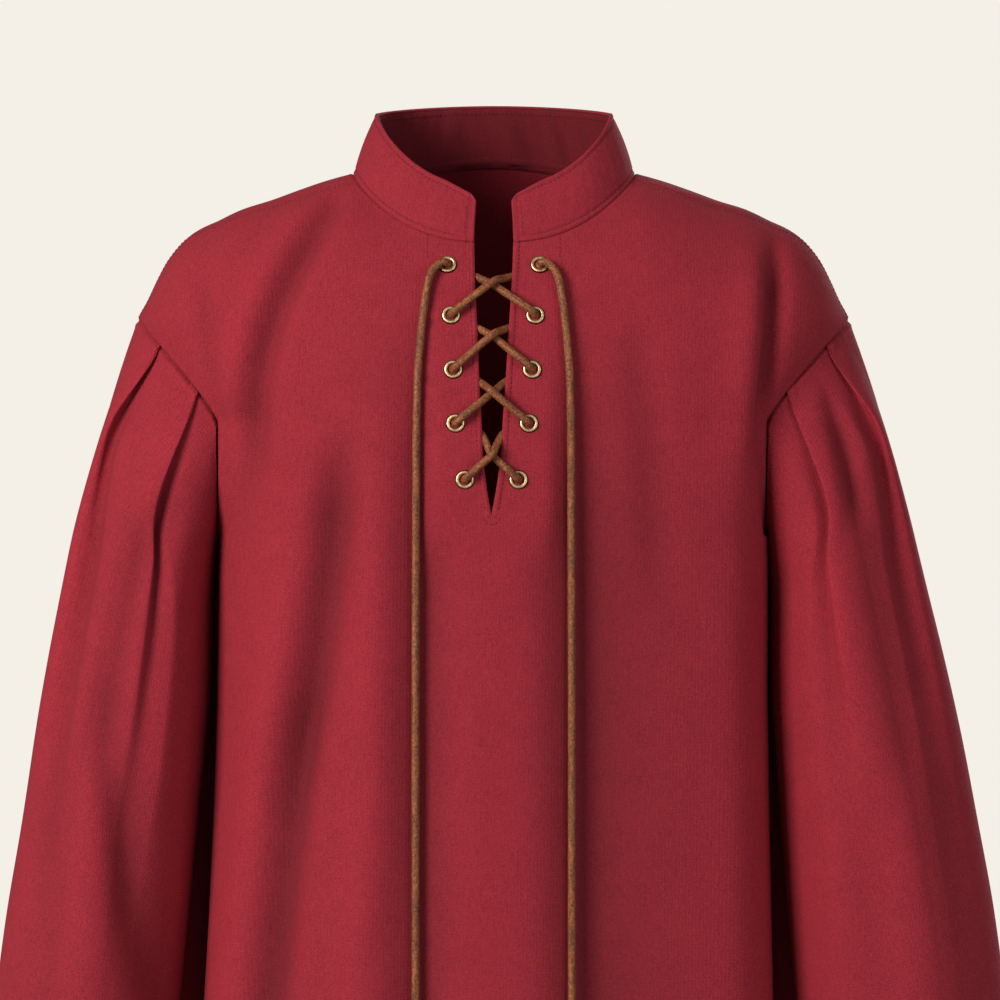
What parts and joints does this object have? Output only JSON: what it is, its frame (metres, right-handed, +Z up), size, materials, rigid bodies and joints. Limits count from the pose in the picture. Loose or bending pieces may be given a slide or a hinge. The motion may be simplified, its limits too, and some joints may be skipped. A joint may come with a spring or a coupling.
{
  "type": "medieval laced shirt",
  "caption": "Crimson canvas shirt with a stand collar, a neck slit laced with leather cord through brass eyelets, dropped shoulders and wide pleated sleeves.",
  "frame": {"origin": "midway between the neck points at shoulder height, where the wearer's shoulders carry the shirt", "axes": "+Z up from hem to collar, the front faces -Y, the wearer's left is +X"},
  "size_m": [0.754, 0.252, 0.8535],
  "materials": {
    "canvas": "matt cotton canvas",
    "brass": "antique",
    "cord": "satin round cord"
  },
  "bodies": {
    "root": {"bodyFront": "canvas", "bodyBack": "canvas", "sleeveLeft": "canvas", "sleeveRight": "canvas", "collar": "canvas", "eyeletLeft1": "brass", "eyeletLeft2": "brass", "eyeletLeft3": "brass", "eyeletLeft4": "brass", "eyeletLeft5": "brass", "eyeletRight1": "brass", "eyeletRight2": "brass", "eyeletRight3": "brass", "eyeletRight4": "brass", "eyeletRight5": "brass", "laceMiddle": "cord", "laceEndLeft": "cord", "laceEndRight": "cord"}
  },
  "joints": []
}
